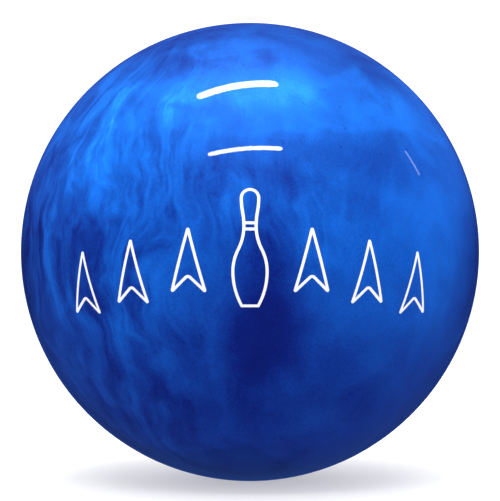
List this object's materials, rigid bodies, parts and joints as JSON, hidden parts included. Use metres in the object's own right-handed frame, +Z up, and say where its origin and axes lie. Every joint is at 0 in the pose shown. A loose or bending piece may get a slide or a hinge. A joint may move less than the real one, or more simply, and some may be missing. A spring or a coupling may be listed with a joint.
{
  "type": "bowling ball",
  "caption": "Glossy blue pearl bowling ball with an engraved white emblem of a pin and lane darts, drilled and fitted with finger inserts and a thumb slug.",
  "frame": {"origin": "centre of the ball", "axes": "+Z up as the emblem stands, -Y out through the emblem, +X to the right of someone facing the emblem"},
  "size_m": [0.2172, 0.2172, 0.2172],
  "materials": {
    "pearl_cover": "gloss",
    "filler_resin": "matte",
    "weight_resin": "matte",
    "pin_resin": "gloss",
    "white_paint": "satin",
    "insert_rubber": "satin",
    "slug_urethane": "satin"
  },
  "bodies": {
    "root": {"coverstock": "pearl_cover", "filler_core": "filler_resin", "weight_block": "weight_resin", "locator_pin": "pin_resin", "cg_mark_paint": "white_paint", "pin_emblem_paint": "white_paint", "lane_dart_paint": "white_paint", "middle_finger_insert": "insert_rubber", "ring_finger_insert": "insert_rubber", "thumb_slug": "slug_urethane"}
  },
  "joints": []
}
